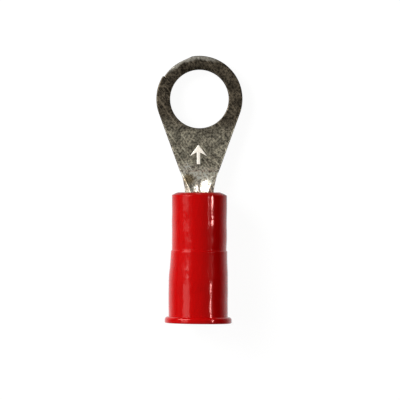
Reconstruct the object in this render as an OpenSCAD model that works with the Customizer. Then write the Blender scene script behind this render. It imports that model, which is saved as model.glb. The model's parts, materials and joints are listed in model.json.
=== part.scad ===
// Insulated crimp ring terminal with an insulation grip.
//
// A blank of tin-plated copper sheet is stamped as a ring tongue, and its rear end is rolled
// into a wire barrel with a butt seam. A moulded nylon insulator covers the barrel and runs on
// behind it, where it holds a thin metal sleeve that grips the insulation of the wire.
//
// The origin is the centre of the stud hole on the underside of the tongue, the face that lies
// on a terminal block. +Z is the axis of the stud, and the wire leaves along -Y.

/* [Tongue] */
// Diameter of the stud hole, a clearance hole for an M5 or a No. 10 stud
stud_hole_d = 5.1; // [4.3:0.1:5.5]
// Outside diameter of the ring
ring_d = 7.5; // [7:0.1:9]
// Thickness of the copper sheet
stock_t = 0.8; // [0.6:0.05:1]
// Angle between each flank of the tongue and the long axis
flank_angle = 20; // [16:1:22]
// Distance from the centre of the stud hole back to the crease, where the sheet starts to curl
crease_dist = 6.24; // [5.6:0.05:7]
// How far the shear mark cuts into the rim of the ring, where the blank left its carrier strip
shear_depth = 0.13; // [0.05:0.01:0.25]
// Angle at which the shear mark leaves the rim smoothly, seen from above and counted from +X
shear_start = 115; // [105:1:125]
// Angle at which the shear mark ends in a square corner
shear_end = 148; // [135:1:160]

/* [Neck] */
// Width of the flat blank at the neck, its narrowest place
neck_w = 2.2; // [1.8:0.1:2.6]
// Length over which the flat sheet curls up to the round of the barrel
curl_l = 1.96; // [1.6:0.05:3]
// Radius of the blank's inner corner between the neck and the barrel
shoulder_r = 0.4; // [0.3:0.05:0.5]

/* [Wire barrel] */
// Diameter of the barrel's bore, for a stranded conductor
barrel_bore_d = 1.7; // [1.5:0.05:2.3]
// Length of the barrel
barrel_l = 4.6; // [4:0.1:6]
// Gap between the two edges that meet along the top of the barrel
seam_gap = 0.06; // [0.04:0.01:0.15]
// Size of the countersink that guides the strands into the rear of the barrel
barrel_lead = 0.2; // [0.1:0.05:0.3]

/* [Insulation grip] */
// Inside diameter of the grip sleeve, for the insulation of the wire
grip_bore_d = 3.7; // [3.5:0.1:4.2]
// Wall of the grip sleeve
grip_wall = 0.25; // [0.2:0.05:0.35]
// Diameter of the opening in the turned-in front lip of the grip sleeve
lip_hole_d = 2.3; // [2.1:0.1:2.8]
// How far the rear mouth of the grip sleeve flares outwards
mouth_flare = 0.2; // [0.1:0.05:0.3]
// Length of the flared mouth
mouth_l = 0.45; // [0.3:0.05:0.6]
// How far the mouth lies inside the rear face of the insulator
mouth_recess = 0.2; // [0.1:0.05:0.4]

/* [Insulator] */
// Wall of the insulator around the barrel
front_wall = 0.72; // [0.5:0.02:0.9]
// Wall of the insulator around the grip sleeve, just behind the step
rear_wall = 0.34; // [0.3:0.02:0.6]
// How much the radius grows from the step back to the flange
rear_taper = 0.12; // [0:0.01:0.2]
// Length of the insulator behind the step
rear_l = 6.3; // [5:0.1:8]
// How far the insulator reaches over the neck in front of the barrel
mouth_cover = 0.46; // [0.1:0.02:0.6]
// How far the domed front face falls back from the bore to the outside
face_dome = 0.3; // [0.1:0.05:0.5]
// Chamfer of the bore at the front
front_lead = 0.1; // [0.05:0.01:0.15]
// Length of the sloping step on the outside
step_l = 0.12; // [0.05:0.01:0.3]
// How far the end flange stands out from the insulator
flange_h = 0.34; // [0.2:0.02:0.7]
// Thickness of the end flange
flange_t = 0.58; // [0.4:0.02:1]
// Rounding of the edges of the flange
flange_edge_r = 0.12; // [0.05:0.01:0.18]

/* [Fits] */
// Clearance all round between each metal piece and the insulator
fit_gap = 0.02; // [0.01:0.01:0.05]
// Gap between the rear end of the barrel and the lip of the grip sleeve
seat_gap = 0.03; // [0.02:0.01:0.1]

/* [Hidden] */
$fn = 96;
tin = [0.53, 0.51, 0.47];
bright_tin = [0.72, 0.71, 0.68];
nylon = [0.70, 0.02, 0.02];

// Ring and flanks
ring_r = ring_d / 2;
shear_r = ring_r - shear_depth;
flank_sink = 0.005;                         // a flank starts this far inside the ring's rim
flank_r = ring_r - flank_sink;
crease_half_w = flank_r / cos(flank_angle) - crease_dist * tan(flank_angle);

// Rolled sheet, along -Y from the crease to the rear end of the barrel
barrel_r = barrel_bore_d / 2 + stock_t;
barrel_mean_r = barrel_bore_d / 2 + stock_t / 2;
axis_z = barrel_r;                          // the barrel's underside is level with the tongue's
barrel_front = -(crease_dist + curl_l + shoulder_r);
barrel_rear = barrel_front - barrel_l;
neck_sink = 0.1;                            // the neck runs this far into the tongue and barrel
neck_skin = 0.003;                          // and lies this far under their faces there
curl_steps = 14;
shoulder_steps = 5;
width_steps = 16;

// Insulator and grip sleeve, as radii about the barrel's axis and places along Y
front_y = barrel_front + mouth_cover;
rear_y = barrel_rear - rear_l;
flange_y = rear_y + flange_t;
bore_r = barrel_r + fit_gap;
front_r = bore_r + front_wall;
grip_r = grip_bore_d / 2 + grip_wall;
chamber_r = grip_r + fit_gap;
rear_r = chamber_r + rear_wall;
rear_end_r = rear_r + rear_taper;
flange_r = rear_end_r + flange_h;
lip_y = barrel_rear - seat_gap;
mouth_y = rear_y + mouth_recess;
arc_steps = 8;

// Points of an arc from angle a to angle b
function arc(centre, r, a, b) =
    [for (i = [0:arc_steps])
        let (t = a + (b - a) * i / arc_steps)
        centre + r * [cos(t), sin(t)]];

function polar(r, a) = r * [cos(a), sin(a)];

// Revolves a profile of points (radius, y) about the axis of the barrel
module about_barrel_axis() {
    translate([0, 0, axis_z])
        rotate([-90, 0, 0])
            rotate_extrude()
                children();
}

// The sliver that is missing from the rim: it follows a smaller circle up to a square corner
module shear_mark() {
    leave = polar(shear_r, shear_start);
    along = polar(1, shear_start - 90);
    difference() {
        polygon([
            leave - 0.1 * leave,
            leave,
            leave + 2 * along,
            polar(2 * ring_r, shear_start),
            polar(2 * ring_r, shear_end),
            polar(shear_r - 0.1, shear_end)
        ]);
        circle(r = shear_r);
    }
}

module tongue_outline() {
    difference() {
        union() {
            circle(r = ring_r);
            polygon([
                polar(flank_r, -flank_angle),
                polar(flank_r, 180 + flank_angle),
                [-crease_half_w, -crease_dist],
                [crease_half_w, -crease_dist]
            ]);
        }
        circle(d = stud_hole_d);
        shear_mark();
    }
}

// Curvature of the sheet at a distance d behind the crease
function curvature(d) =
    let (t = max(0, min(1, d / curl_l)))
    t * t * (3 - 2 * t) / barrel_mean_r;

// Half the width of the flat blank at a distance d behind the crease
function blank_half_w(d) =
    let (t = max(0, d / curl_l))
    t <= 1
        ? neck_w / 2 + (crease_half_w - neck_w / 2) * pow(1 - t, 2)
        : neck_w / 2 + shoulder_r - sqrt(max(0, pow(shoulder_r, 2) - pow(d - curl_l, 2)));

// Where a point of the blank lands when the sheet is bent: u across it, h above its underside
function bent(u, h, k) =
    let (a = u * k * 180 / PI, m = stock_t / 2 - h)
    k == 0
        ? [u, h]
        : [sin(a) * (1 / k + m), stock_t / 2 + (1 - cos(a)) / k - m * cos(a)];

// The neck, a loft through sections of the sheet that curl up from flat to the barrel's round
module neck() {
    stations = concat(
        [-neck_sink],
        [for (i = [0:curl_steps]) curl_l * i / curl_steps],
        [for (i = [1:shoulder_steps]) curl_l + shoulder_r * i / shoulder_steps],
        [curl_l + shoulder_r + neck_sink]
    );
    across = [for (i = [0:width_steps]) 2 * i / width_steps - 1];
    count = 2 * len(across);
    last = (len(stations) - 1) * count;

    points = [
        for (d = stations)
            let (w = blank_half_w(d) - neck_skin, k = curvature(d))
            for (side = [0, 1], i = [0:width_steps])
                let (u = side == 0 ? across[i] : across[width_steps - i])
                let (h = side == 0 ? neck_skin : stock_t - neck_skin)
                let (p = bent(u * w, h, k))
                [p.x, -crease_dist - d, p.y]
    ];
    walls = [
        for (s = [0:len(stations) - 2], i = [0:count - 1])
            let (a = s * count + i, b = s * count + (i + 1) % count)
            for (face = [[b, a, b + count], [b + count, a, a + count]])
                face
    ];
    ends = [
        for (i = [0:width_steps - 1])
            let (a = i, b = i + 1, c = count - 2 - i, d = count - 1 - i)
            for (face = [[a, b, c, d], [last + d, last + c, last + b, last + a]])
                face
    ];
    polyhedron(points = points, faces = concat(walls, ends));
}

// The barrel, rolled up with its seam on top and countersunk at the rear for the strands
module barrel() {
    difference() {
        translate([0, barrel_front, axis_z])
            rotate([90, 0, 0])
                difference() {
                    cylinder(h = barrel_l, r = barrel_r);
                    translate([0, 0, -1])
                        cylinder(h = barrel_l + 2, d = barrel_bore_d);
                    translate([0, 0, barrel_l - barrel_lead])
                        cylinder(
                            h = 2 * barrel_lead,
                            r1 = barrel_bore_d / 2,
                            r2 = barrel_bore_d / 2 + 2 * barrel_lead
                        );
                }
        translate([-seam_gap / 2, barrel_rear - 1, axis_z])
            cube([seam_gap, barrel_l + 2, barrel_r + 1]);
    }
}

// The stamped and rolled blank: ring tongue, neck and wire barrel in one piece
module terminal() {
    color(tin) {
        linear_extrude(stock_t)
            tongue_outline();
        neck();
        barrel();
    }
}

// The moulded sleeve: a stepped tube with a domed front face and a flange at the rear
module insulator() {
    face_w = front_wall - front_lead;
    color(nylon)
        about_barrel_axis()
            polygon(concat(
                [[bore_r, front_y - front_lead]],
                [
                    for (p = arc([0, 0], 1, 90, 0))
                        [front_r - face_w + face_w * p.x, front_y - face_dome + face_dome * p.y]
                ],
                [[front_r, barrel_rear + step_l / 2], [rear_r, barrel_rear - step_l / 2]],
                [[rear_end_r, flange_y]],
                arc([flange_r - flange_edge_r, flange_y - flange_edge_r], flange_edge_r, 90, 0),
                arc([flange_r - flange_edge_r, rear_y + flange_edge_r], flange_edge_r, 0, -90),
                [[chamber_r + mouth_flare, rear_y], [chamber_r + mouth_flare, mouth_y]],
                [[chamber_r, mouth_y + mouth_l], [chamber_r, barrel_rear], [bore_r, barrel_rear]]
            ));
}

// The grip sleeve: a drawn tube with a pierced front lip and a flared rear mouth
module grip_sleeve() {
    inner_r = grip_bore_d / 2;
    color(bright_tin)
        about_barrel_axis()
            polygon(concat(
                [[lip_hole_d / 2, lip_y]],
                arc([grip_r - 2 * grip_wall, lip_y - 2 * grip_wall], 2 * grip_wall, 90, 0),
                [[grip_r, mouth_y + mouth_l], [grip_r + mouth_flare, mouth_y]],
                [[inner_r + mouth_flare, mouth_y], [inner_r, mouth_y + mouth_l]],
                arc([inner_r - grip_wall, lip_y - 2 * grip_wall], grip_wall, 0, 90),
                [[lip_hole_d / 2, lip_y - grip_wall]]
            ));
}

terminal();
insulator();
grip_sleeve();
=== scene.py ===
# Ring terminal: a stamped and rolled copper terminal, tin plated, with a raised mark on its tongue,
# a drawn grip sleeve and a moulded nylon insulator. The sections follow the order of assembly.
import json

import bmesh
import bpy
import numpy as np
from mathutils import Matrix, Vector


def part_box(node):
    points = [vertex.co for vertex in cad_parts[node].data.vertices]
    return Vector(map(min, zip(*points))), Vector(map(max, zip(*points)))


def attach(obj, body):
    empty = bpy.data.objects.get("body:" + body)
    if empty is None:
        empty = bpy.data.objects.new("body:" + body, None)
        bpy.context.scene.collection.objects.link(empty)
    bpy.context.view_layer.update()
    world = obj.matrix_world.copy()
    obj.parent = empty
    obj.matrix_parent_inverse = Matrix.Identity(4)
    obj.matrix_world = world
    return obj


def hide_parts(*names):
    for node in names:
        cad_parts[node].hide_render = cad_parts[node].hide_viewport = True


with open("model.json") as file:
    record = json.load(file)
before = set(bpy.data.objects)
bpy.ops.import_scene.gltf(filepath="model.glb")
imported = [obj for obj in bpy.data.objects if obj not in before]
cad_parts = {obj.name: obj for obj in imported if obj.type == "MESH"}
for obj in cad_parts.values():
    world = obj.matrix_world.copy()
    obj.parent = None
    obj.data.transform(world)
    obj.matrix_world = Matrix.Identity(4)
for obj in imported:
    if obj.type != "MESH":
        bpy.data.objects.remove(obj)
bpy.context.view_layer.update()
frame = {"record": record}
mounts = {m["name"]: m for m in frame["record"]["mounts"]}


# ---------------------------------------------------------------------------
# Terminal. One blank of 0.8 mm copper sheet: a ring tongue, then a neck that curls up, then wings
# that are rolled into the wire barrel with a butt seam on top. Its edges are rounded by the die.
# ---------------------------------------------------------------------------
MM = 0.001
terminal_low, terminal_high = (np.array(corner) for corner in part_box("terminal"))
ring_r = terminal_high[0]
stud_r = mounts["stud_hole"]["dims"]["r_mm"] * MM
stock_t = mounts["tongue_top"]["pos_m"][2]
barrel_r = terminal_high[2] / 2
barrel_rear = terminal_low[1]
axis_z = mounts["wire_barrel"]["pos_m"][2]
mean_r = barrel_r - stock_t / 2

flank_angle = np.radians(20)
crease = 6.24 * MM
neck_half_w = 1.22 * MM
curl_l = 1.96 * MM
shoulder_r = 0.4 * MM
wing_l = 0.14 * MM
seam_gap = 0.06 * MM
edge_r = 0.09 * MM
groove_l = 0.14 * MM
groove_depth = 0.02 * MM
countersink = 0.2 * MM
shear_depth = 0.13 * MM
shear_from, shear_leave, shear_to = np.radians([100, 115, 148])
shear_step = np.radians(0.6)
curl_late = 0.3 * MM
fold_l = 0.8 * MM
fold_shift = -0.03 * MM
fold_slope = 0.66
fold_share = 0.26
hump = 0.04 * MM
crease_half_w = ring_r / np.cos(flank_angle) - crease * np.tan(flank_angle)


def smooth(t):
    """The S-curve 3t^2 - 2t^3, held at 0 before t = 0 and at 1 after t = 1."""
    t = np.clip(t, 0, 1)
    return t * t * (3 - 2 * t)


def outline_radius(phi):
    """Distance from the stud hole's centre to the outline along the ray at angle phi.

    A ray meets the ring's circle or, behind the tangent points, a straight flank. Left of the tip
    it meets the shear mark: a smaller circle, left along its tangent and ended by a square step.
    """
    side = np.abs(np.cos(phi))
    slant = np.maximum(side - np.sin(phi) * np.tan(flank_angle), 0.05)
    flank = ring_r / np.cos(flank_angle) / slant
    radius = np.where(np.sin(phi) < -np.sin(flank_angle), flank, ring_r)
    turned = np.mod(phi, 2 * np.pi)
    small_r = ring_r - shear_depth
    tangent = small_r / np.cos(np.minimum(turned - shear_leave, 0))
    step = smooth((shear_to - turned) / shear_step)
    cut = ring_r + (np.minimum(tangent, ring_r) - ring_r) * step
    return np.where((turned > shear_from) & (turned < shear_to), cut, radius)


def rounded_edge(steps):
    """A sheared edge as (inset, height) pairs from the underside to the top face.

    Each corner is a quarter circle of the edge radius, and the wall between them is straight.
    """
    turn = np.linspace(0, np.pi / 2, steps)
    low = np.stack([edge_r * (1 - np.sin(turn)), edge_r * (1 - np.cos(turn))], 1)
    high = np.stack([low[::-1, 0], stock_t - low[::-1, 1]], 1)
    return np.concatenate([low, high])


def blank_half_width(d):
    """Half the width of the flat blank at a distance d behind the crease.

    It runs in to the neck along a parabola, out again round the shoulder's quarter circle, and
    then quickly out to the full width that closes the barrel.
    """
    t = np.clip(d / curl_l, 0, 1)
    neck = neck_half_w + (crease_half_w - neck_half_w) * (1 - t) ** 2
    past = np.clip(d - curl_l, 0, shoulder_r)
    shoulder = shoulder_r - np.sqrt(shoulder_r**2 - past**2)
    closed = np.pi * mean_r - seam_gap / 2
    wing = smooth((d - curl_l - shoulder_r) / wing_l)
    width = neck + shoulder
    return width + (closed - width) * wing


def sheet_thickness(d, barrel_end):
    """Thickness of the sheet at a distance d behind the crease.

    The bending die leaves a shallow groove along the crease, as deep as a squared sine, and the
    wire's end of the barrel is countersunk.
    """
    groove = groove_depth * np.sin(np.pi * np.clip(d / groove_l, 0, 1)) ** 2
    lead = np.clip(d - (barrel_end - countersink), 0, countersink)
    return stock_t - groove - lead


def bend(u, h, d):
    """Places blank points in space: u across the sheet, h above its underside, d behind the crease.

    The slope of the sheet's mean line is its curvature times the distance from its middle. The
    curvature grows along an S-curve from nothing just behind the crease to that of the barrel.
    Between the two a punch folds the sheet along a valley beside the middle, where the slope goes
    over to a tanh curve with nearly flat walls. The mean line is the sum of that slope's cosine and
    sine, by Gauss's rule, and a face lies half the thickness to one side of it. The floor of the
    neck rises and falls again as a squared sine.
    """
    # The last node has no weight and gives the slope at u itself
    nodes, weights = np.polynomial.legendre.leggauss(12)
    nodes, weights = np.append((nodes + 1) / 2, 1), np.append(weights / 2, 0)
    fold = smooth((d - curl_late) / fold_l) * (1 - smooth((d - curl_l) / shoulder_r))
    valley = fold_shift * fold
    half = blank_half_width(d)
    side = np.where(u > valley, half - valley, -half - valley)
    s = ((u - valley) / side)[..., None] * nodes
    folded = fold_slope * np.tanh(s / fold_share)
    turn = (smooth((d - curl_late) / (curl_l - curl_late)) / mean_r * side)[..., None]
    slope = turn * (s + (folded - s) * fold[..., None])
    x = valley + (u - valley) * (np.cos(slope) @ weights)
    z = stock_t / 2 + (u - valley) * (np.sin(slope) @ weights)
    z = z + hump * np.sin(np.pi * np.clip(d / curl_l, 0, 1)) ** 2
    x = x - (h - stock_t / 2) * np.sin(slope[..., -1])
    z = z + (h - stock_t / 2) * np.cos(slope[..., -1])
    return np.stack(np.broadcast_arrays(x, -crease - d, z), -1)


def quads(rows, columns, close_rows=False, close_columns=False):
    """Corner numbers of the cells of a grid, with its last row or column joined to the first."""
    r = np.arange(rows if close_rows else rows - 1)[:, None]
    c = np.arange(columns if close_columns else columns - 1)[None, :]
    below, right = (r + 1) % rows, (c + 1) % columns
    cells = [r * columns + c, r * columns + right, below * columns + right, below * columns + c]
    return np.stack(np.broadcast_arrays(*cells), -1).reshape(-1, 4)


def make_piece(name, grids, sharp=40):
    """Joins grids of points, each (points, close_rows, close_columns), into one closed mesh.

    A fourth entry marks points on a sheared edge by 1 and others by 0, and becomes the attribute
    "sheared". Points that meet are merged and the faces are turned outwards. Edges sharper than the
    given angle in degrees stay sharp in the shading.
    """
    points, faces, sheared, start = [], [], [], 0
    for grid, close_rows, close_columns, *cut in grids:
        rows, columns = grid.shape[:2]
        points.append(grid.reshape(-1, 3))
        faces.append(quads(rows, columns, close_rows, close_columns) + start)
        sheared.append(np.broadcast_to(cut[0] if cut else 0.0, (rows, columns)).ravel())
        start += rows * columns
    mesh = bpy.data.meshes.new(name)
    mesh.from_pydata(np.concatenate(points).tolist(), [], np.concatenate(faces).tolist())
    marks = mesh.attributes.new("sheared", "FLOAT", "POINT")
    marks.data.foreach_set("value", np.concatenate(sheared))
    form = bmesh.new()
    form.from_mesh(mesh)
    bmesh.ops.remove_doubles(form, verts=form.verts, dist=1e-7)
    bmesh.ops.dissolve_degenerate(form, edges=form.edges, dist=1e-8)
    bmesh.ops.recalc_face_normals(form, faces=form.faces)
    form.to_mesh(mesh)
    form.free()
    mesh.shade_smooth()
    mesh.set_sharp_from_angle(angle=np.radians(sharp))
    piece = bpy.data.objects.new(name, mesh)
    bpy.context.scene.collection.objects.link(piece)
    return piece


def terminal_grids():
    """The whole blank as grids: rays round the stud hole, then sections of the neck and barrel."""
    # Places across the sheet from right to left, closer together towards its edges
    across = np.cos(np.linspace(0, np.pi, 49)) * 0.35 + np.linspace(1, -1, 49) * 0.65

    # Rays all round the stud hole, to the outline and to the crease, with more at the shear mark
    corner = np.arctan2(crease, crease_half_w)
    near_step = shear_to + np.radians([-1.2, -0.6, -0.4, -0.2, 0, 0.01])
    open_rays = np.union1d(np.linspace(-corner, np.pi + corner, 241), near_step)
    crease_rays = np.arctan2(-crease, crease_half_w * across[::-1])[1:-1]

    # Outline of the open stretch, from the right end of the crease round the ring to its left end
    radius = outline_radius(open_rays)
    rim = np.stack([radius * np.cos(open_rays), radius * np.sin(open_rays)], 1)
    along = np.gradient(rim, axis=0)
    inward = np.stack([-along[:, 1], along[:, 0]], 1)
    inward /= np.linalg.norm(inward, axis=1)[:, None]
    inward[0], inward[-1] = (-1, 0), (1, 0)
    edge = rounded_edge(6)
    wall = rim[:, None] + inward[:, None] * edge[None, :, :1]
    height = np.broadcast_to(edge[None, :, 1:], wall.shape[:2] + (1,))
    outer_wall = np.concatenate([wall, height], 2)

    # Flat faces, from the outline in to the stud hole
    crease_x = (crease_half_w - edge_r) * across[::-1][1:-1]
    crease_line = np.stack([crease_x, np.full_like(crease_x, -crease)], 1)
    rays = np.concatenate([open_rays, crease_rays])
    outer = np.concatenate([rim + inward * edge_r, crease_line])
    hole = (stud_r + edge_r) * np.stack([np.cos(rays), np.sin(rays)], 1)
    s = np.linspace(0, 1, 13)[None, :, None]
    face = outer[:, None] * (1 - s) + hole[:, None] * s
    top = np.concatenate([face, np.full(face.shape[:2] + (1,), stock_t)], 2)
    underside = np.concatenate([face, np.zeros(face.shape[:2] + (1,))], 2)

    # Wall of the stud hole
    bore = (stud_r + edge[None, :, :1]) * np.stack([np.cos(rays), np.sin(rays)], 1)[:, None]
    bore_height = np.broadcast_to(edge[None, :, 1:], bore.shape[:2] + (1,))
    hole_wall = np.concatenate([bore, bore_height], 2)

    # Sections of the neck, the wings' front edge and the barrel, each a closed loop
    neck_end = curl_l + shoulder_r
    barrel_end = -crease - barrel_rear
    stations = np.concatenate([
        np.linspace(0, groove_l, 8)[:-1],
        np.linspace(groove_l, curl_l, 33),
        np.linspace(curl_l, neck_end, 9)[1:],
        np.linspace(neck_end, neck_end + wing_l, 13)[1:],
        np.linspace(neck_end + wing_l, barrel_end - countersink, 13)[1:],
        [barrel_end],
    ])[:, None]
    half = blank_half_width(stations)
    u = np.concatenate([
        half - edge[None, :, 0],
        (half - edge_r) * across[None, 1:-1],
        -(half - edge[None, ::-1, 0]),
        (half - edge_r) * across[None, ::-1][:, 1:-1],
    ], 1)
    flat = np.ones(len(across) - 2)
    h = np.concatenate([edge[:, 1], stock_t * flat, edge[::-1, 1], 0 * flat])[None, :]
    h = h * sheet_thickness(stations, barrel_end) / stock_t
    sections = bend(u, h, stations)

    # The rear face of the barrel: the last section is split in the middle of its two edges, and the
    # points of its outer half are paired with those of its inner half
    loop = np.roll(sections[-1], -len(edge) // 2, axis=0)
    half_count = len(loop) // 2
    rear_face = np.stack([loop[:half_count], loop[::-1][:half_count]], 1)

    cut = np.abs(edge[:, 1] - stock_t / 2) < stock_t / 2 - 0.1 * edge_r
    return [
        (outer_wall, False, False, cut),
        (top, True, False),
        (underside, True, False),
        (hole_wall, True, False, cut),
        (sections, False, True, np.concatenate([cut, 0 * flat, cut, 0 * flat])),
        (rear_face, False, False, 1.0),
    ]


def colour(code):
    """Turns an sRGB hex code such as "#B4B0A8" into linear red, green and blue and an alpha."""
    value = np.array([int(code[i:i + 2], 16) for i in (1, 3, 5)]) / 255
    linear = np.where(value <= 0.04045, value / 12.92, ((value + 0.055) / 1.055) ** 2.4)
    return (*linear.tolist(), 1.0)


def add(tree, kind, inputs=None, **settings):
    """Adds a node: settings are its own properties, inputs are values or links of its sockets."""
    node = tree.nodes.new("ShaderNode" + kind)
    for name, value in settings.items():
        setattr(node, name, value)
    for name, value in (inputs or {}).items():
        if isinstance(value, bpy.types.NodeSocket):
            tree.links.new(value, node.inputs[name])
        else:
            node.inputs[name].default_value = value
    return node


def new_material(name):
    """An empty material, its tree and its output node."""
    material = bpy.data.materials.new(name)
    material.use_nodes = True
    material.node_tree.nodes.clear()
    return material, material.node_tree, add(material.node_tree, "OutputMaterial")


def matt_tin():
    """Electroplated matt tin over copper, tumbled in a drum and handled.

    It is a soft grey mirror: the grains of the plating scatter what it reflects. Brownish stains
    and dark specks gather on the ring, dirt lies round the stud hole, and slanting scratches cross
    it. A paler margin at the tip, beside the shear mark, is a painted highlight. The sheared edges
    carry painted shade, dark brown and dull, and less of it on the neck. The grains and specks are
    drawn about three times as coarse as real ones, to show at all.
    """
    material, tree, output = new_material("matt tin plate")
    place = add(tree, "TexCoord").outputs["Object"]

    def noise(size, detail=3.0, roughness=0.5, long=1.0, turn=0.0):
        """Noise with features of a size in metres, some times as long along a turned Y axis."""
        way = add(tree, "Mapping", {
            "Vector": place, "Scale": (1, long, 1), "Rotation": (0, 0, np.radians(turn)),
        }, vector_type="TEXTURE")
        node = add(tree, "TexNoise", {
            "Vector": way.outputs[0], "Scale": 1 / size, "Detail": detail, "Roughness": roughness,
        })
        return node.outputs["Fac"]

    def between(value, low, high, to_low, to_high):
        """Turns a value's range low to high smoothly into another, and holds it at the ends."""
        return add(tree, "MapRange", {
            "Value": value, "From Min": low, "From Max": high, "To Min": to_low, "To Max": to_high,
        }, interpolation_type="SMOOTHSTEP").outputs[0]

    def sums(kind, first, second, third=0.0):
        """A sum or product of values."""
        return add(tree, "Math", {0: first, 1: second, 2: third}, operation=kind).outputs[0]

    def blend(amount, first, second):
        """Goes from one colour to another."""
        sockets = {"Factor": amount, "A": first, "B": second}
        return add(tree, "Mix", sockets, data_type="RGBA").outputs["Result"]

    stains, patches = noise(2.2 * MM), noise(0.65 * MM, 2.0)
    grain, specks = noise(0.2 * MM, 4.0, 0.62), noise(0.14 * MM, 1.0)
    scratches = noise(0.15 * MM, 1.0, long=14, turn=35)
    fine_lines = noise(0.1 * MM, 2.0, long=9, turn=-48)

    # From brown on the ring through grey on the tongue to bright on the neck, but for a brownish
    # patch on its left. The bright neck is a painted highlight for the light that the crease
    # and the curl of the sheet catch
    along = add(tree, "SeparateXYZ", {"Vector": place}).outputs["Y"]
    drift = sums("MULTIPLY_ADD", stains, 1.6 * MM, along)
    tin = blend(between(drift, -2.8 * MM, -0.6 * MM, 0, 1), colour("#C8C1AD"), colour("#7C7262"))
    # Painted highlight: near white from the crease on
    tin = blend(between(drift, -4.7 * MM, -5.5 * MM, 0, 1), tin, colour("#FFF6E2"))
    # A brownish patch on the left of the neck
    brown_patch_at = (-0.95 * MM, -7.05 * MM, 0.9 * MM)
    brown_patch = add(tree, "VectorMath", {0: place, 1: brown_patch_at}, operation="DISTANCE").outputs["Value"]
    brown_patch = sums("MULTIPLY_ADD", patches, 0.5 * MM, brown_patch)
    tin = blend(between(brown_patch, 0.9 * MM, 0.5 * MM, 0, 0.85), tin, colour("#B09A72"))

    # Dirt round the stud hole that reaches further towards the tip
    flat = add(tree, "VectorMath", {0: place, 1: (1, 1, 0)}, operation="MULTIPLY").outputs[0]
    radius = add(tree, "VectorMath", {0: flat}, operation="LENGTH").outputs["Value"]
    inner = sums("MULTIPLY_ADD", along, -0.15, radius)
    dirt = between(inner, 2.2 * MM, 2.8 * MM, 0.45, 1.0)

    # Painted highlight: a paler margin along the rim at the tip and beside the shear mark
    tipwards = add(tree, "VectorMath", {0: flat, 1: (-0.22, 0.975, 0)}, operation="DOT_PRODUCT")
    at_tip = between(tipwards.outputs["Value"], 2.6 * MM, 3.2 * MM, 0, 1)
    margin_highlight = sums("MULTIPLY_ADD", patches, 0.5 * MM, radius)
    margin_highlight = sums("MULTIPLY", between(margin_highlight, 3.52 * MM, 3.74 * MM, 0, 1), at_tip)
    margin_highlight = sums("MULTIPLY", margin_highlight, between(grain, 0.38, 0.6, 0.45, 0.95))

    # Grains, specks, patches and dirt darken the tin, and scratches lighten it, but not so much on
    # the neck, which is bright already
    shade = between(grain, 0.38, 0.62, 0.28, 1.4)
    shade = sums("MULTIPLY", shade, between(specks, 0.30, 0.45, 0.4, 1.0))
    shade = sums("MULTIPLY", shade, between(patches, 0.32, 0.68, 0.6, 1.3))
    shade = sums("MULTIPLY", shade, dirt)
    shade = sums("ADD", shade, between(scratches, 0.61, 0.72, 0, 0.85))
    shade = sums("ADD", shade, between(fine_lines, 0.62, 0.74, 0, 0.25))
    shade = sums("MINIMUM", shade, between(drift, -4.7 * MM, -5.5 * MM, 2.1, 1.2))
    base = add(tree, "VectorMath", {0: tin, "Scale": shade}, operation="SCALE").outputs[0]
    # The paler margin, a painted highlight
    base = blend(margin_highlight, base, colour("#CBC7BB"))
    # Painted shade: the sheared edges turn dark brown, strongly on the ring and tongue, little on
    # the neck
    edge = add(tree, "Attribute", attribute_name="sheared").outputs["Fac"]
    edge_shade = sums("MULTIPLY", edge, between(along, -7.1 * MM, -6.3 * MM, 0.15, 0.95))
    base = blend(edge_shade, base, colour("#362A1C"))

    rough = sums("MULTIPLY_ADD", edge, 0.25, between(grain, 0.3, 0.7, 0.4, 0.28))
    rough = sums("MULTIPLY_ADD", margin_highlight, 0.12, rough)
    relief = sums("ADD", grain, fine_lines)
    bump = add(tree, "Bump", {"Height": relief, "Distance": 0.014 * MM, "Strength": 1.0})
    metal = add(tree, "BsdfPrincipled", {
        "Base Color": base, "Metallic": 1.0, "Roughness": rough, "Normal": bump.outputs[0],
    })
    tree.links.new(metal.outputs[0], output.inputs["Surface"])
    return material


terminal = make_piece("terminal_blank", terminal_grids())
terminal.data.materials.append(matt_tin())
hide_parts("terminal")
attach(terminal, "root")


# ---------------------------------------------------------------------------
# Direction mark. An arrow towards the stud, coined 0.045 mm proud of the tongue by the die
# and touched with pale enamel, which has rounded its edges.
# ---------------------------------------------------------------------------
mark_tip = np.array([-0.08, -3.98]) * MM
mark_barb = np.array([0.75, -1.0]) * MM
mark_notch = 0.62 * MM
mark_l = 1.73 * MM
shaft_half_w = 0.16 * MM
mark_h = 0.045 * MM
mark_edge = 0.13 * MM
mark_sink = 0.01 * MM


def mark_back(x):
    """Y of the back edge of the arrow's head at x: a line from the notch out to the barb."""
    return -mark_notch + (mark_barb[1] + mark_notch) * np.abs(x) / mark_barb[0]


def mark_height(points):
    """Height of the mark above its plane: a quarter round that rises from the outline inwards."""
    neck = mark_back(shaft_half_w)
    right = np.array([
        (0, 0), mark_barb, (shaft_half_w, neck), (shaft_half_w, -mark_l), (0, -mark_l),
    ])
    start = np.concatenate([right[:-1], right[:-1] * (-1, 1)])
    end = np.concatenate([right[1:], right[1:] * (-1, 1)])
    side = end - start
    away = points[..., None, :] - start
    t = np.clip((away * side).sum(-1) / (side**2).sum(-1), 0, 1)
    distance = np.linalg.norm(away - t[..., None] * side, axis=-1).min(-1)
    return mark_h * np.sqrt(1 - (1 - np.minimum(distance / mark_edge, 1)) ** 2)


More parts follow.
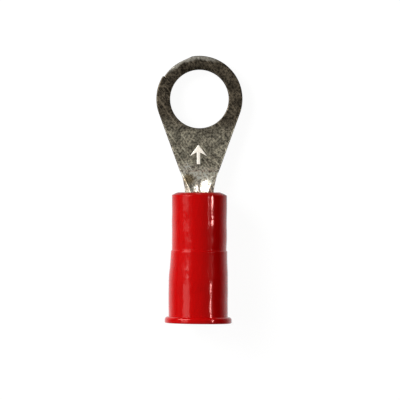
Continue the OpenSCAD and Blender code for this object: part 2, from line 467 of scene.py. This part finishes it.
def mark_grids():
    """The arrow's head between its front and back edges, and its shaft, over flat undersides."""
    shaft_x = np.linspace(-1, 1, 13) * shaft_half_w
    barb_x = np.linspace(shaft_half_w, mark_barb[0], 22)[1:]
    head_x = np.concatenate([-barb_x[::-1], shaft_x, barb_x])
    s = np.linspace(0, 1, 25)[:, None]
    front = mark_barb[1] / mark_barb[0] * np.abs(head_x)
    head_y = front * (1 - s) + mark_back(head_x) * s
    shaft_y = mark_back(shaft_x) * (1 - s) - mark_l * s
    grids = []
    for x, y in ((head_x, head_y), (shaft_x, shaft_y)):
        flat = np.stack(np.broadcast_arrays(x, y), -1)
        base = np.concatenate([flat + mark_tip, np.full(y.shape + (1,), stock_t - mark_sink)], 2)
        raised = base.copy()
        raised[..., 2] += mark_height(flat)
        grids += [(base, False, False), (raised, False, False)]
    return grids


def pale_enamel():
    """Stoved enamel, thin and cream white, rubbed in handling: a satin surface with fine dust."""
    material, tree, output = new_material("cream enamel")
    place = add(tree, "TexCoord").outputs["Object"]
    worn = add(tree, "TexNoise", {"Vector": place, "Scale": 1 / (0.22 * MM), "Detail": 3.0})
    tone = add(tree, "Mix", {
        "Factor": worn.outputs["Fac"], "A": colour("#FFFCF4"), "B": colour("#FBF2E2"),
    }, data_type="RGBA")
    bump = add(tree, "Bump", {
        "Height": worn.outputs["Fac"], "Distance": 0.004 * MM, "Strength": 1.0,
    })
    paint = add(tree, "BsdfPrincipled", {
        "Base Color": tone.outputs["Result"], "Roughness": 0.3, "IOR": 1.5,
        "Normal": bump.outputs[0],
    })
    tree.links.new(paint.outputs[0], output.inputs["Surface"])
    return material


mark = make_piece("direction_mark", mark_grids(), sharp=60)
mark.data.materials.append(pale_enamel())
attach(mark, "root")


# ---------------------------------------------------------------------------
# Grip sleeve. A thin brass tube, drawn with a turned-in front lip and a flared rear mouth, bright
# tin plated. It sits in the insulator behind the barrel and grips the insulation of the wire.
# ---------------------------------------------------------------------------
grip_low, grip_high = (np.array(corner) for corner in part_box("grip_sleeve"))
grip_bore_r = mounts["insulation_grip"]["dims"]["r_mm"] * MM
grip_wall = 0.25 * MM
grip_r = grip_bore_r + grip_wall
lip_hole_r = 1.15 * MM
mouth_flare = 0.2 * MM
mouth_l = 0.45 * MM
lip_y, mouth_y = grip_high[1], grip_low[1]


def quarter(centre, radius, start, stop, steps=9):
    """Points (radius, y) of an arc about a centre, between two angles in degrees."""
    turn = np.radians(np.linspace(start, stop, steps))[:, None]
    return np.array(centre) + radius * np.concatenate([np.cos(turn), np.sin(turn)], 1)


def fill_in(corners, spacing):
    """Adds points along each straight run of a closed profile, so that none is further apart."""
    corners = np.asarray(corners)
    runs = []
    for start, end in zip(corners, np.roll(corners, -1, 0)):
        count = max(1, int(np.ceil(np.linalg.norm(end - start) / spacing)))
        runs.append(start + (end - start) * (np.arange(count) / count)[:, None])
    return np.concatenate(runs)


def revolve(profile, columns):
    """Turns a closed profile of (radius, y) about the barrel's axis into a ring-shaped grid."""
    angle = np.linspace(0, 2 * np.pi, columns, endpoint=False)[None, :]
    radius, y = profile[:, :1], profile[:, 1:]
    grid = (radius * np.sin(angle), y + 0 * angle, axis_z + radius * np.cos(angle))
    return np.stack(grid, -1)


def bright_tin():
    """Bright tin over drawn brass: a clear but slightly hazy mirror with faint drawing lines."""
    material, tree, output = new_material("bright tin plate")
    place = add(tree, "TexCoord").outputs["Object"]
    stretch = add(tree, "Mapping", {"Vector": place, "Scale": (1.0, 0.05, 1.0)})
    lines = add(tree, "TexNoise", {
        "Vector": stretch.outputs[0], "Scale": 1 / (0.1 * MM), "Detail": 3.0,
    })
    tone = add(tree, "Mix", {
        "Factor": lines.outputs["Fac"], "A": colour("#CFCAC0"), "B": colour("#E2DED6"),
    }, data_type="RGBA")
    rough = add(tree, "MapRange", {"Value": lines.outputs["Fac"], "To Min": 0.2, "To Max": 0.34})
    bump = add(tree, "Bump", {
        "Height": lines.outputs["Fac"], "Distance": 0.002 * MM, "Strength": 1.0,
    })
    metal = add(tree, "BsdfPrincipled", {
        "Base Color": tone.outputs["Result"], "Metallic": 1.0, "Roughness": rough.outputs[0],
        "Normal": bump.outputs[0],
    })
    tree.links.new(metal.outputs[0], output.inputs["Surface"])
    return material


grip_profile = fill_in(np.concatenate([
    [(lip_hole_r, lip_y)],
    quarter((grip_r - 2 * grip_wall, lip_y - 2 * grip_wall), 2 * grip_wall, 90, 0),
    [(grip_r, mouth_y + mouth_l), (grip_r + mouth_flare, mouth_y)],
    [(grip_bore_r + mouth_flare, mouth_y), (grip_bore_r, mouth_y + mouth_l)],
    quarter((grip_bore_r - grip_wall, lip_y - 2 * grip_wall), grip_wall, 0, 90),
    [(lip_hole_r, lip_y - grip_wall)],
]), 0.4 * MM)
grip_sleeve = make_piece("grip_sleeve_tube", [(revolve(grip_profile, 128), True, True)], sharp=35)
grip_sleeve.data.materials.append(bright_tin())
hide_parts("grip_sleeve")
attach(grip_sleeve, "root")


# ---------------------------------------------------------------------------
# Insulator. A stepped tube of red nylon 66, injection moulded over a core pin and pushed on over
# the barrel. Its front face is domed, a rounded step marks the barrel's rear end, and a flange
# with rounded edges guides the wire in.
# ---------------------------------------------------------------------------
insulator_low, insulator_high = (np.array(corner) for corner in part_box("insulator"))
front_y, rear_y = insulator_high[1], insulator_low[1]
flange_r = insulator_high[0]
fit_gap = 0.02 * MM
front_wall = 0.72 * MM
rear_wall = 0.34 * MM
rear_taper = 0.12 * MM
face_dome = 0.3 * MM
rim_r = 0.08 * MM
front_lead = 0.1 * MM
step_l = 0.18 * MM
flange_t = 0.58 * MM
flange_front_r = 0.28 * MM
flange_edge_r = 0.12 * MM
waist_l = 1.1 * MM
waist_h = 0.01 * MM
core_shift = 0.11 * MM
lean_ahead = 2 * MM
lean_l = 6 * MM
askew = 0.012
wave_count = 14
wave_h = 0.007 / 3 * MM
chamber_lining = 0.12 * MM
bore_lining = 0.15 * MM
bore_r = barrel_r + fit_gap
front_r = bore_r + front_wall
chamber_r = grip_r + fit_gap
rear_r = chamber_r + rear_wall
rear_end_r = rear_r + rear_taper
flange_y = rear_y + flange_t
flange_h = flange_r - rear_end_r


def moulded_skin(grid):
    """Moves the outer skin off the true round, and leaves the linings of the bores as they are.

    In front of the step it draws in to a slight waist. Behind the step it swells quickly and then
    runs straight, as a smooth curve less the straight taper. The tube leans to one side along an
    S-curve, because the core pin stood off centre, and it is pushed on a little askew. The whole
    skin rises and sinks by a sum of slow sine waves.
    """
    across, up = grid[..., 0], grid[..., 2] - axis_z
    radius, angle, y = np.hypot(across, up), np.arctan2(across, up), grid[..., 1]
    skin = radius > chamber_r + chamber_lining
    skin |= (radius > bore_r + bore_lining) & (y > barrel_rear)
    behind = (barrel_rear - step_l / 2 - y) / (barrel_rear - step_l / 2 - flange_y)
    swell = rear_taper * (smooth(2 * behind) - np.clip(behind, 0, 1))
    swell = swell * (radius < flange_r - flange_h / 2)
    waist = -waist_h * smooth((barrel_rear + waist_l - y) / waist_l) * (y > barrel_rear)
    wave = np.zeros_like(y)
    random = np.random.default_rng(7)
    for _ in range(wave_count):
        turns, length = random.integers(-4, 5), random.uniform(1.5, 5.0) * MM
        wave += np.sin(turns * angle + 2 * np.pi * y / length + random.uniform(0, 2 * np.pi))
    radius = radius + skin * (swell + waist + wave * wave_h)
    lean = core_shift * smooth((barrel_rear + lean_ahead - y) / lean_l) * skin
    across, up = radius * np.sin(angle), radius * np.cos(angle)
    return np.stack([across - lean, y - askew * across * skin, axis_z + up], -1)


def dome_face(steps):
    """The domed front face as (radius, y) pairs: it falls by a power of 1.5 to the rounded rim."""
    t = np.linspace(0, 1, steps)
    start = np.array([bore_r + front_lead, front_y])
    stop = quarter((front_r - rim_r, front_y - face_dome), rim_r, 60, 0)[0]
    return start + (stop - start) * np.stack([t, t**1.5], 1)


def step_profile(steps):
    """The rounded step at the barrel's rear end, as (radius, y) pairs along an S-curve."""
    t = np.linspace(0, 1, steps)
    return np.stack([front_r + (rear_r - front_r) * smooth(t), barrel_rear + step_l * (0.5 - t)], 1)


def red_nylon():
    """Pigmented nylon 66 from a polished mould: a deep clear red with a wet-looking, waxy gloss.

    Light enters it a little, a fine orange-peel texture breaks up its highlights, and handling has
    left faint hoops and scuffs.
    """
    material, tree, output = new_material("moulded red nylon")
    place = add(tree, "TexCoord").outputs["Object"]
    cloud = add(tree, "TexNoise", {"Vector": place, "Scale": 1 / (1.6 * MM), "Detail": 3.0})
    tone = add(tree, "Mix", {
        "Factor": cloud.outputs["Fac"], "A": colour("#AC0001"), "B": colour("#B80102"),
    }, data_type="RGBA")
    peel = add(tree, "TexNoise", {"Vector": place, "Scale": 1 / (0.45 * MM), "Detail": 2.0})
    hoops = add(tree, "Mapping", {"Vector": place, "Scale": (0.12, 1.0, 0.12)})
    scuffs = add(tree, "TexNoise", {
        "Vector": hoops.outputs[0], "Scale": 1 / (0.16 * MM), "Detail": 3.0,
    })
    rough = add(tree, "MapRange", {
        "Value": scuffs.outputs["Fac"], "From Min": 0.35, "From Max": 0.7,
        "To Min": 0.09, "To Max": 0.17,
    })
    relief = add(tree, "Math", {
        0: scuffs.outputs["Fac"], 1: 0.12, 2: peel.outputs["Fac"],
    }, operation="MULTIPLY_ADD")
    bump = add(tree, "Bump", {
        "Height": relief.outputs[0], "Distance": 0.015 * MM, "Strength": 1.0,
    })
    plastic = add(tree, "BsdfPrincipled", {
        "Base Color": tone.outputs["Result"], "Roughness": rough.outputs[0], "IOR": 1.53,
        "Specular IOR Level": 0.4, "Specular Tint": (1.0, 0.42, 0.4, 1.0),
        "Subsurface Weight": 0.15, "Subsurface Radius": (1.0, 0.1, 0.05),
        "Subsurface Scale": 0.3 * MM, "Normal": bump.outputs[0],
    })
    tree.links.new(plastic.outputs[0], output.inputs["Surface"])
    return material


insulator_profile = fill_in(np.concatenate([
    [(bore_r, front_y - front_lead)],
    dome_face(17),
    quarter((front_r - rim_r, front_y - face_dome), rim_r, 60, 0),
    step_profile(13),
    [(rear_end_r, flange_y)],
    quarter((flange_r - flange_front_r, flange_y - flange_front_r), flange_front_r, 90, 0, 17),
    quarter((flange_r - flange_edge_r, rear_y + flange_edge_r), flange_edge_r, 0, -90),
    [(chamber_r + mouth_flare, rear_y), (chamber_r + mouth_flare, mouth_y)],
    [(chamber_r, mouth_y + mouth_l), (chamber_r, barrel_rear), (bore_r, barrel_rear)],
]), 0.12 * MM)
insulator_grid = moulded_skin(revolve(insulator_profile, 320))
insulator = make_piece("insulator_shell", [(insulator_grid, True, True)], sharp=35)
insulator.data.materials.append(red_nylon())
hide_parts("insulator")
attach(insulator, "root")


# ---------------------------------------------------------------------------
# Stage. A white board under the terminal, which rests on its flange and on the front rim of the
# insulator, with its ring just clear of the board. The board glows evenly to the camera, and metal
# and nylon reflect a glow that fades away from the part.
# ---------------------------------------------------------------------------
board_half = 1.5
rest_gap = 0.004 * MM
board_glow = 0.935
glow_half_w = 7.3 * MM
glow_full_y, glow_faint_y = -11 * MM, -5 * MM
rim_touch = np.array([front_y - face_dome, axis_z - front_r])
flange_touch = np.array([rear_y + flange_edge_r, axis_z - flange_r])
slope = (rim_touch - flange_touch)[1] / (rim_touch - flange_touch)[0]
drop = flange_touch[1] - slope * flange_touch[0] - rest_gap
edges = np.array([(-1, -1), (1, -1), (1, 1), (-1, 1)]) * board_half
board_mesh = bpy.data.meshes.new("board")
board_mesh.from_pydata([(x, y, drop + slope * y) for x, y in edges.tolist()], [], [(0, 1, 2, 3)])
board = bpy.data.objects.new("board", board_mesh)
bpy.context.scene.collection.objects.link(board)

# Only the camera and reflections see the glow: light that the part scatters meets a plain grey
board_paint, tree, output = new_material("white board")
paths = add(tree, "LightPath").outputs
seen = add(tree, "Math", {
    0: paths["Is Camera Ray"], 1: paths["Is Glossy Ray"],
}, operation="MAXIMUM")
seen = add(tree, "Math", {0: seen.outputs[0], 1: paths["Is Transmission Ray"]}, operation="MAXIMUM")
grey = add(tree, "BsdfDiffuse", {"Color": (0.6, 0.6, 0.6, 1.0)})
spot = add(tree, "SeparateXYZ", {"Vector": add(tree, "TexCoord").outputs["Object"]}).outputs
aside = add(tree, "Math", {0: spot["X"]}, operation="ABSOLUTE")
fade = add(tree, "Math", {0: glow_half_w, 1: aside.outputs[0]}, operation="DIVIDE", use_clamp=True)
fade = add(tree, "Math", {0: fade.outputs[0], 1: 2.0}, operation="POWER")
ahead = add(tree, "MapRange", {
    "Value": spot["Y"], "From Min": glow_full_y, "From Max": glow_faint_y,
    "To Min": 1.0, "To Max": 0.05,
})
fade = add(tree, "Math", {0: fade.outputs[0], 1: ahead.outputs[0]}, operation="MULTIPLY")
fade = add(tree, "Math", {0: fade.outputs[0], 1: paths["Is Camera Ray"]}, operation="MAXIMUM")
fade = add(tree, "Math", {0: fade.outputs[0], 1: board_glow}, operation="MULTIPLY")
glow = add(tree, "Emission", {"Color": (1.0, 1.0, 1.0, 1.0), "Strength": fade.outputs[0]})
shade = add(tree, "BsdfDiffuse", {"Color": (0.11, 0.11, 0.11, 1.0)})
white = add(tree, "AddShader", {0: glow.outputs[0], 1: shade.outputs[0]})
both = add(tree, "MixShader", {0: seen.outputs[0], 1: grey.outputs[0], 2: white.outputs[0]})
tree.links.new(both.outputs[0], output.inputs["Surface"])
board_mesh.materials.append(board_paint)


# ---------------------------------------------------------------------------
# Light. A large soft key box and a dim wide box on the left, and a dim room, darkest on the right.
# Small boxes on the left and strips on the right stand close to the insulator, and give it its
# broken highlights.
# ---------------------------------------------------------------------------
middle_y = -8.8 * MM


def soft_box(
    name, lean, turn, width, length, radiance, away=250, facing=middle_y / MM, diffuse=True,
):
    """A rectangular lamp that faces the part's long axis, with its sizes in millimetres.

    It leans by some degrees from overhead, in a direction turned by some degrees from +X, stands
    some way off and faces the place with a given Y. Its power is its radiance times pi times its
    area. One that isn't diffuse shows in reflections, but throws no light on matt surfaces.
    """
    lamp = bpy.data.lights.new(name, "AREA")
    lamp.shape = "RECTANGLE"
    lamp.size, lamp.size_y = width * MM, length * MM
    lamp.energy = radiance * np.pi * width * length * MM**2
    holder = bpy.data.objects.new(name, lamp)
    lean, turn = np.radians([lean, turn])
    out = np.sin(lean) * away
    place = np.array([out * np.cos(turn), facing + out * np.sin(turn), np.cos(lean) * away])
    holder.location = place * MM
    holder.rotation_euler = (0, lean, turn)
    holder.visible_camera = False
    holder.visible_diffuse = diffuse
    bpy.context.scene.collection.objects.link(holder)


soft_box("key", 57, 149, 160, 150, 9.6)
soft_box("wide box", 60, 180, 270, 500, 0.15)
for name, lean, facing, length, radiance in [
    ("front", 55.5, -8.1, 4.8, 4.8),
    ("rear", 44, -18.7, 9.2, 7.2),
]:
    place = {"away": 33, "facing": facing}
    soft_box(name + " box", lean, 180, 14, length, 0.4 * radiance, **place)
    soft_box(name + " inner box", lean, 180, 4, length, radiance, **place)
soft_box("front strip", 51.2, 0, 2.4, 3.4, 75.0, away=33.2, facing=-8.6, diffuse=False)
soft_box("side strip", 36.4, 0, 2.0, 3.8, 14.0, away=33.5, facing=-8.7)
soft_box("rear strip", 46.0, 0, 1.2, 5.8, 70.0, away=33.4, facing=-19.2)

room = bpy.data.worlds.new("room")
bpy.context.scene.world = room
room.use_nodes = True
tree = room.node_tree
tree.nodes.clear()
way = add(tree, "SeparateXYZ", {"Vector": add(tree, "TexCoord").outputs["Generated"]}).outputs
height = add(tree, "MapRange", {
    "Value": way["Z"], "From Min": 0.45, "From Max": 0.85, "To Min": 0.14, "To Max": 0.21,
}, interpolation_type="SMOOTHSTEP")
right = add(tree, "MapRange", {
    "Value": way["X"], "From Min": 0.7, "From Max": 0.92, "To Min": 1.0, "To Max": 0.03,
}, interpolation_type="SMOOTHSTEP")
strength = add(tree, "Math", {0: height.outputs[0], 1: right.outputs[0]}, operation="MULTIPLY")
sky = add(tree, "Background", {"Color": (1.0, 0.97, 0.91, 1.0), "Strength": strength.outputs[0]})
tree.links.new(sky.outputs[0], add(tree, "OutputWorld").inputs["Surface"])


# ---------------------------------------------------------------------------
# Camera. A long lens looks straight down on the tongue from 0.35 m above it, with the tip of the
# ring pointing up.
# ---------------------------------------------------------------------------
camera = bpy.data.cameras.new("camera")
camera.sensor_width = 36
camera.lens = 362
camera.clip_start = 0.01
stand = bpy.data.objects.new("camera", camera)
stand.location = (0.05 * MM, middle_y, 0.35 + stock_t)
bpy.context.scene.collection.objects.link(stand)
bpy.context.scene.camera = stand
bpy.context.scene.view_settings.view_transform = "Standard"
